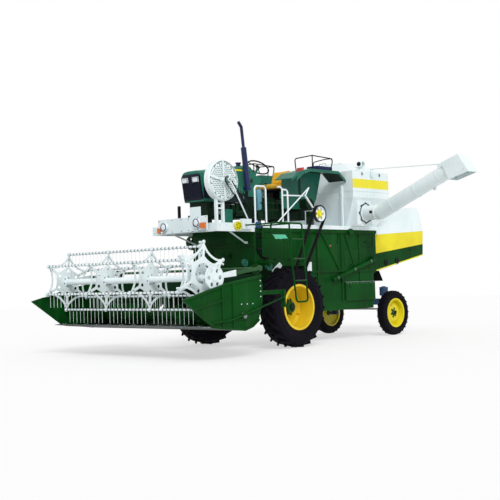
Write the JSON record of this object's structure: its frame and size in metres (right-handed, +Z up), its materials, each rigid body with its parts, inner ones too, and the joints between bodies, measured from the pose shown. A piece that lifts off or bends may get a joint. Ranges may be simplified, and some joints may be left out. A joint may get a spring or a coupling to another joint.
{
  "type": "combine harvester",
  "caption": "Tractor-driven combine harvester: crop header with pickup reel, thresher, grain tank, swung-out unloading auger and straw hood.",
  "frame": {"origin": "centre of the bounding box's base, level with the ground under the tyres", "axes": "+X the way the machine drives, +Y to its left, +Z up"},
  "size_m": [7.82, 5.125, 3.8678],
  "materials": {
    "belt_rubber": "matt",
    "dark_green_paint": "satin",
    "dark_mesh": "matt",
    "green_paint": "satin",
    "lamp_lens": "gloss",
    "orange_lens": "gloss",
    "seat_vinyl": "matt",
    "stack_paint": "matt",
    "steel": "satin",
    "tyre_rubber": "matt",
    "white_paint": "satin",
    "yellow_paint": "satin"
  },
  "bodies": {
    "chassis": {"auger_boot": "white_paint", "belt_drive": "white_paint", "dash": "dark_mesh", "deck": "white_paint", "deck_fittings": "steel", "drive_belt": "belt_rubber", "drum_pulley": "white_paint", "exhaust": "stack_paint", "fender_rails": "belt_rubber", "fenders": "green_paint", "frame_beams": "green_paint", "handrails": "white_paint", "headlamps": "lamp_lens", "hood_band": "yellow_paint", "hood_lower": "green_paint", "hood_upper": "white_paint", "indicators": "orange_lens", "ladder": "green_paint", "light_board": "white_paint", "rear_axle": "steel", "screen_drum": "white_paint", "seat": "seat_vinyl", "steering_wheel": "belt_rubber", "tank_hopper": "white_paint", "tank_roof": "white_paint", "thresher_body": "green_paint", "tractor_bonnet": "green_paint", "tractor_engine": "dark_green_paint", "tractor_grille": "dark_mesh"},
    "front_wheel_left": {"front_tyre_left": "tyre_rubber", "front_rim_left": "yellow_paint"},
    "front_wheel_right": {"front_tyre_right": "tyre_rubber", "front_rim_right": "yellow_paint"},
    "rear_wheel_left": {"rear_tyre_left": "tyre_rubber", "rear_rim_left": "yellow_paint"},
    "rear_wheel_right": {"rear_tyre_right": "tyre_rubber", "rear_rim_right": "yellow_paint"},
    "stub_axle_left": {"knuckle_left": "steel"},
    "stub_axle_right": {"knuckle_right": "steel"},
    "track_rod": {"tie_rod": "steel"},
    "lid": {"tank_lid": "white_paint"},
    "unloading_auger": {"auger_tube": "white_paint", "auger_stay": "steel"},
    "screen": {"screen_rotor": "dark_mesh"},
    "header": {"header_pan": "green_paint", "cutter_bar": "steel", "feeder_house": "green_paint", "reel_posts": "green_paint"},
    "header_auger": {"crop_auger": "green_paint"},
    "reel_frame": {"reel_arms": "white_paint"},
    "reel": {"reel_core": "white_paint"},
    "reel_ring": {"control_ring": "white_paint"},
    "cylinders": {"lift_barrels": "dark_mesh"},
    "plungers": {"lift_rods": "steel"},
    "bat_1": {"reel_bat_1": "white_paint"},
    "bat_2": {"reel_bat_2": "white_paint"},
    "bat_3": {"reel_bat_3": "white_paint"},
    "bat_4": {"reel_bat_4": "white_paint"},
    "bat_5": {"reel_bat_5": "white_paint"},
    "bat_6": {"reel_bat_6": "white_paint"}
  },
  "joints": [
    {"name": "front_left_spin", "type": "hinge", "parent": "chassis", "child": "front_wheel_left", "pos_m": [0.7, 0.3625, 0.674], "axis": [0, 1, 0], "continuous": true},
    {"name": "front_right_spin", "type": "hinge", "parent": "chassis", "child": "front_wheel_right", "pos_m": [0.7, -1.7375, 0.674], "axis": [0, 1, 0], "continuous": true},
    {"name": "steer_left", "type": "hinge", "parent": "chassis", "child": "stub_axle_left", "pos_m": [-2.55, -0.0875, 0.645], "axis": [0, 0, 1], "range_deg": [-30, 30]},
    {"name": "steer_right", "type": "hinge", "parent": "chassis", "child": "stub_axle_right", "pos_m": [-2.55, -1.2875, 0.645], "axis": [0, 0, 1], "range_deg": [-30, 30]},
    {"name": "track_rod_turn", "type": "hinge", "parent": "stub_axle_left", "child": "track_rod", "pos_m": [-2.37, -0.0875, 0.47], "axis": [0, 0, 1], "range_deg": [-30, 30]},
    {"name": "rear_left_spin", "type": "hinge", "parent": "stub_axle_left", "child": "rear_wheel_left", "pos_m": [-2.55, 0.1125, 0.429], "axis": [0, 1, 0], "continuous": true},
    {"name": "rear_right_spin", "type": "hinge", "parent": "stub_axle_right", "child": "rear_wheel_right", "pos_m": [-2.55, -1.4875, 0.429], "axis": [0, 1, 0], "continuous": true},
    {"name": "header_lift", "type": "hinge", "parent": "chassis", "child": "header", "pos_m": [1.32, -0.6875, 1.1], "axis": [0, -1, 0], "range_deg": [-12, 6]},
    {"name": "cylinder_tilt", "type": "hinge", "parent": "chassis", "child": "cylinders", "pos_m": [0.89, -0.6875, 0.56], "axis": [0, -1, 0], "range_deg": [-7.08, 3.59]},
    {"name": "plunger_slide", "type": "slide", "parent": "cylinders", "child": "plungers", "axis": [0.9993, 0, 0.0377], "range_m": [-0.1133, 0.0571]},
    {"name": "header_auger_spin", "type": "hinge", "parent": "header", "child": "header_auger", "pos_m": [2.67, -0.6875, 0.625], "axis": [0, 1, 0], "continuous": true},
    {"name": "reel_lift", "type": "hinge", "parent": "header", "child": "reel_frame", "pos_m": [2.2, -0.6875, 1.33], "axis": [0, -1, 0], "range_deg": [0, 20]},
    {"name": "reel_spin", "type": "hinge", "parent": "reel_frame", "child": "reel", "pos_m": [3.23, -0.6875, 1.205], "axis": [0, 1, 0], "continuous": true},
    {"name": "ring_spin", "type": "hinge", "parent": "reel_frame", "child": "reel_ring", "pos_m": [3.31, -0.6875, 1.267], "axis": [0, 1, 0], "continuous": true},
    {"name": "bat_1_turn", "type": "hinge", "parent": "reel", "child": "bat_1", "pos_m": [3.61091, -0.6875, 1.47171], "axis": [0, 1, 0], "continuous": true},
    {"name": "bat_2_turn", "type": "hinge", "parent": "reel", "child": "bat_2", "pos_m": [3.18947, -0.6875, 1.66823], "axis": [0, 1, 0], "continuous": true},
    {"name": "bat_3_turn", "type": "hinge", "parent": "reel", "child": "bat_3", "pos_m": [2.80857, -0.6875, 1.40152], "axis": [0, 1, 0], "continuous": true},
    {"name": "bat_4_turn", "type": "hinge", "parent": "reel", "child": "bat_4", "pos_m": [2.84909, -0.6875, 0.93829], "axis": [0, 1, 0], "continuous": true},
    {"name": "bat_5_turn", "type": "hinge", "parent": "reel", "child": "bat_5", "pos_m": [3.27053, -0.6875, 0.74177], "axis": [0, 1, 0], "continuous": true},
    {"name": "bat_6_turn", "type": "hinge", "parent": "reel", "child": "bat_6", "pos_m": [3.65143, -0.6875, 1.00848], "axis": [0, 1, 0], "continuous": true},
    {"name": "auger_swing", "type": "hinge", "parent": "chassis", "child": "unloading_auger", "pos_m": [-1.765, 0.2875, 2.325], "axis": [0, 0, 1], "range_deg": [0, 90]},
    {"name": "lid_open", "type": "hinge", "parent": "chassis", "child": "lid", "pos_m": [-1.996, -0.6875, 3.306], "axis": [0, -1, 0], "range_deg": [0, 100]},
    {"name": "screen_spin", "type": "hinge", "parent": "chassis", "child": "screen", "pos_m": [1.76, -0.1675, 2.8], "axis": [0, 1, 0], "continuous": true}
  ],
  "couplings": [
    {"joint": "steer_right", "follows": "steer_left", "ratio": 1},
    {"joint": "track_rod_turn", "follows": "steer_left", "ratio": -1},
    {"joint": "cylinder_tilt", "follows": "header_lift", "ratio": 0.582},
    {"joint": "plunger_slide", "follows": "header_lift", "m_per_rad": 0.536},
    {"joint": "ring_spin", "follows": "reel_spin", "ratio": 1},
    {"joint": "bat_1_turn", "follows": "reel_spin", "ratio": -1},
    {"joint": "bat_2_turn", "follows": "reel_spin", "ratio": -1},
    {"joint": "bat_3_turn", "follows": "reel_spin", "ratio": -1},
    {"joint": "bat_4_turn", "follows": "reel_spin", "ratio": -1},
    {"joint": "bat_5_turn", "follows": "reel_spin", "ratio": -1},
    {"joint": "bat_6_turn", "follows": "reel_spin", "ratio": -1}
  ]
}
